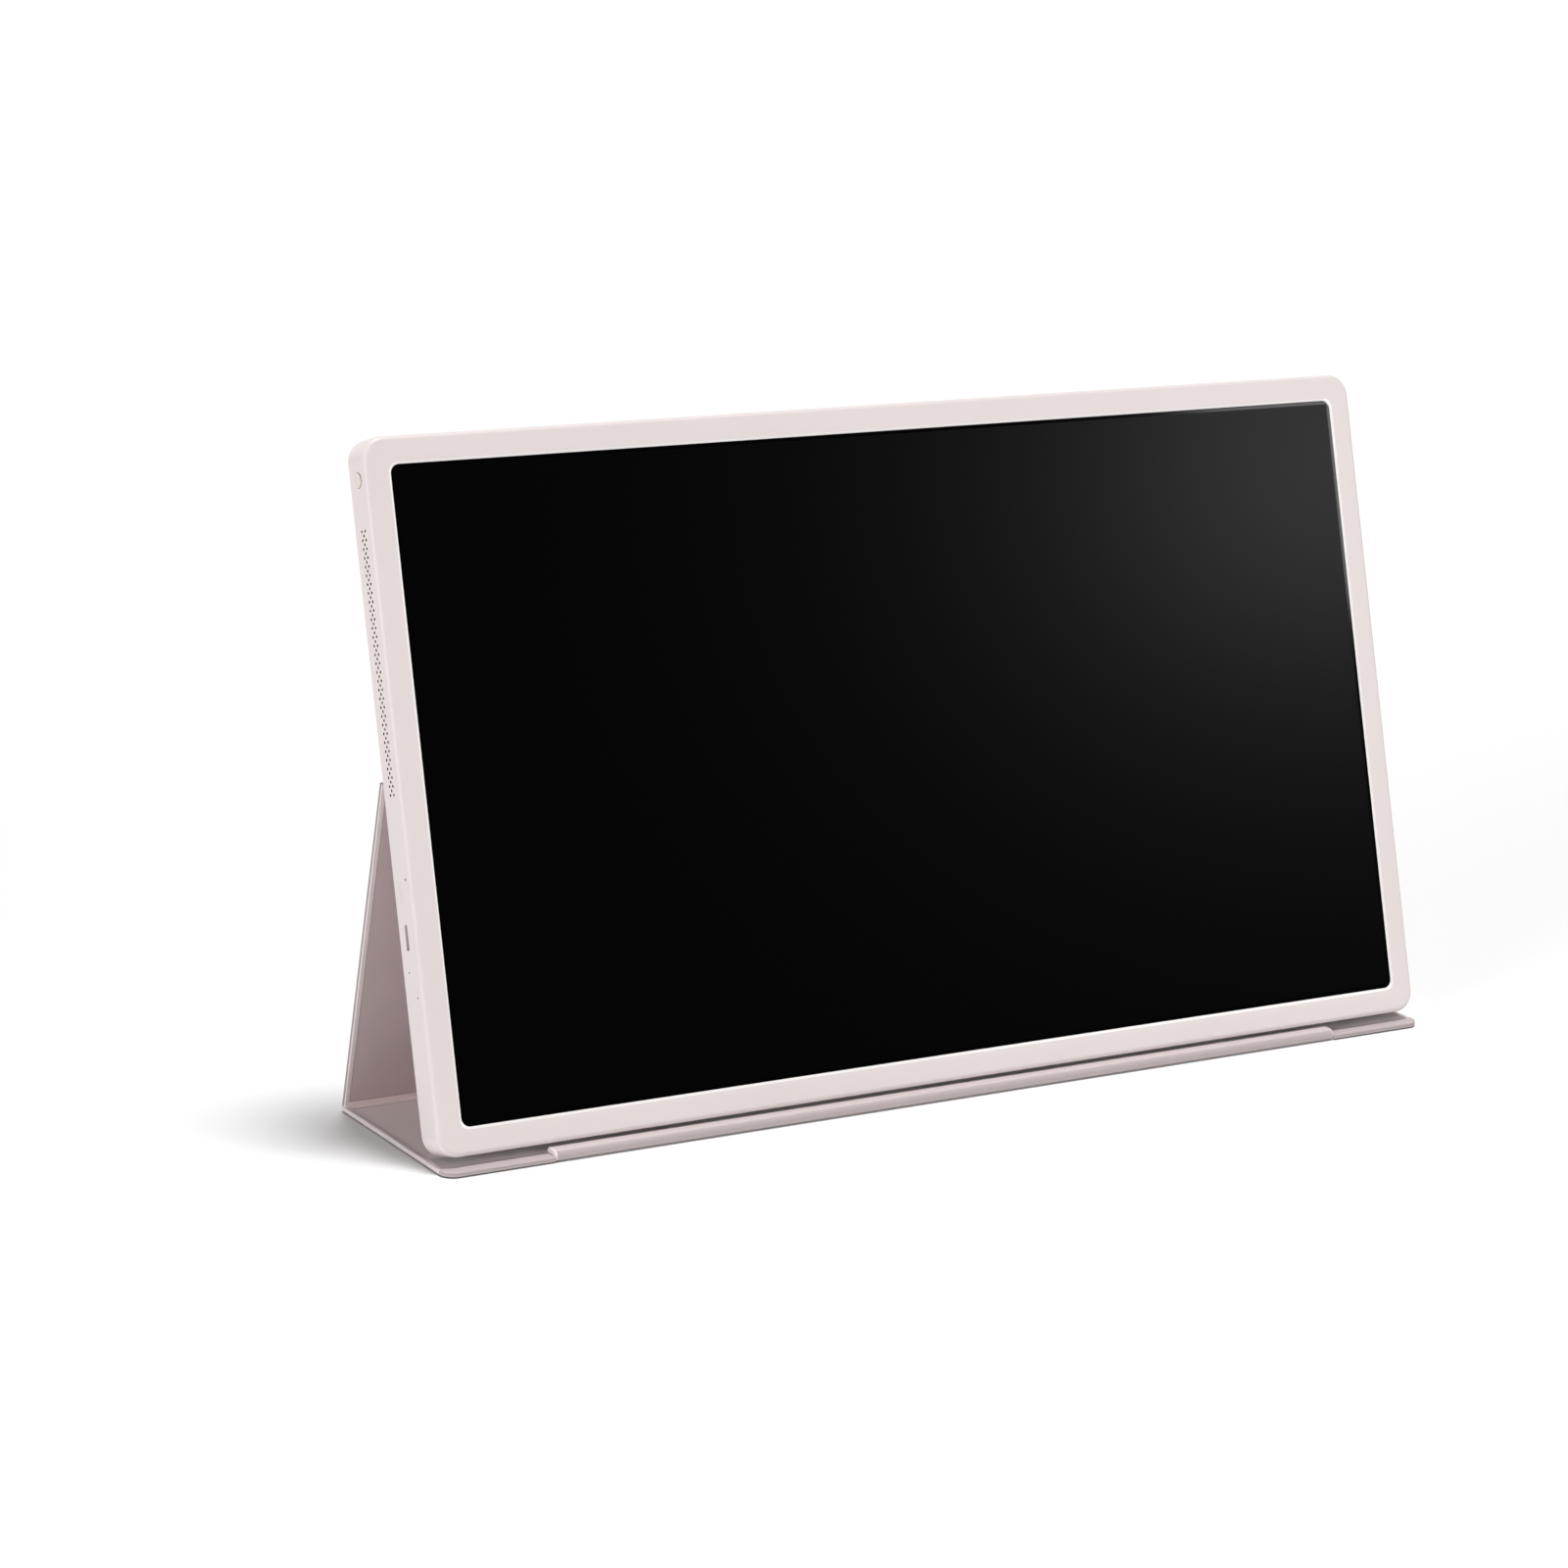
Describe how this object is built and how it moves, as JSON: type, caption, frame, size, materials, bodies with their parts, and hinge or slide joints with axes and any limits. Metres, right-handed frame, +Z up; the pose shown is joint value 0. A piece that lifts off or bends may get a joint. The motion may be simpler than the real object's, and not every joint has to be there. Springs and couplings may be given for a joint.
{
  "type": "portable monitor with cover",
  "caption": "Slim flat-panel monitor propped on a folding leather cover: upper plate on its back, hinged leg, flat base and a folded front lip.",
  "frame": {"origin": "on the floor, in the middle of the object's footprint", "axes": "+X to the viewer's right along the screen's width, +Y to the back, +Z up; the screen faces -Y and leans back"},
  "size_m": [0.6304, 0.128, 0.3628],
  "materials": {
    "bezel_plastic": "fine matte moulded plastic, pale pinkish beige",
    "rear_plastic": "fine matte moulded plastic, pale pinkish beige",
    "black_glass": "polished black cover glass over a screen that is off",
    "panel_cell": "dark glass cell",
    "optical_film": "white film",
    "guide_acrylic": "clear acrylic",
    "led_strip": "white strip with yellow emitters",
    "pressed_metal": "pressed sheet",
    "flat_cable": "amber film",
    "circuit_board": "green solder mask",
    "tinned_steel": "tinned sheet",
    "heat_sheet": "plain sheet",
    "pouch_foil": "dull foil pouch",
    "black_plastic": "black moulded plastic",
    "foam_rubber": "soft black foam",
    "button_plastic": "satin moulded plastic",
    "screw_steel": "plated",
    "light_pipe": "frosted clear",
    "cover_leather": "fine-grained coated leather, pale pinkish beige",
    "cover_lining": "short-napped microfibre, mauve beige",
    "stiff_board": "pressed grey board",
    "magnet_metal": "nickel plated"
  },
  "bodies": {
    "base": {"base_skin": "cover_leather", "base_board": "stiff_board", "base_lining": "cover_lining"},
    "lip": {"lip_skin": "cover_leather", "lip_magnets": "magnet_metal"},
    "leg": {"leg_skin": "cover_leather", "leg_board": "stiff_board", "leg_lining": "cover_lining"},
    "monitor": {"front_bezel": "bezel_plastic", "rear_cover": "rear_plastic", "case_screws": "screw_steel", "cover_glass": "black_glass", "lcd_cell": "panel_cell", "optical_sheets": "optical_film", "light_guide": "guide_acrylic", "light_bar": "led_strip", "panel_chassis": "pressed_metal", "panel_ribbon": "flat_cable", "main_board": "circuit_board", "processor_shield": "tinned_steel", "heat_spreader": "heat_sheet", "battery_cells": "pouch_foil", "battery_tray": "black_plastic", "antennas": "flat_cable", "left_speaker": "black_plastic", "right_speaker": "black_plastic", "left_speaker_seal": "foam_rubber", "right_speaker_seal": "foam_rubber", "power_switch": "black_plastic", "volume_switch": "black_plastic", "port_shell": "tinned_steel", "port_tongue": "black_plastic", "port_board": "circuit_board", "status_light": "light_pipe", "microphones": "tinned_steel", "plate_skin": "cover_leather", "plate_board": "stiff_board", "plate_magnets": "magnet_metal", "plate_lining": "cover_lining"},
    "power_button": {"power_button": "button_plastic"},
    "volume_key": {"volume_key": "button_plastic"}
  },
  "joints": [
    {"name": "stand_fold", "type": "hinge", "parent": "base", "child": "leg", "pos_m": [0, 0.05425, 0.0032], "axis": [1, 0, 0], "range_deg": [-101.88, 0]},
    {"name": "back_fold", "type": "hinge", "parent": "leg", "child": "monitor", "pos_m": [0, 0.01825, 0.18978], "axis": [1, 0, 0], "range_deg": [0, 27.99]},
    {"name": "lip_fold", "type": "hinge", "parent": "base", "child": "lip", "pos_m": [0, -0.06085, 0.0032], "axis": [1, 0, 0], "range_deg": [0, 180]},
    {"name": "power_press", "type": "slide", "parent": "monitor", "child": "power_button", "axis": [1, 0, 0], "range_m": [0, 0.0005], "stiffness_N_per_m": 900},
    {"name": "volume_press", "type": "slide", "parent": "monitor", "child": "volume_key", "axis": [1, 0, 0], "range_m": [0, 0.0005], "stiffness_N_per_m": 900}
  ],
  "couplings": [
    {"joint": "back_fold", "follows": "stand_fold", "ratio": -0.2747}
  ]
}
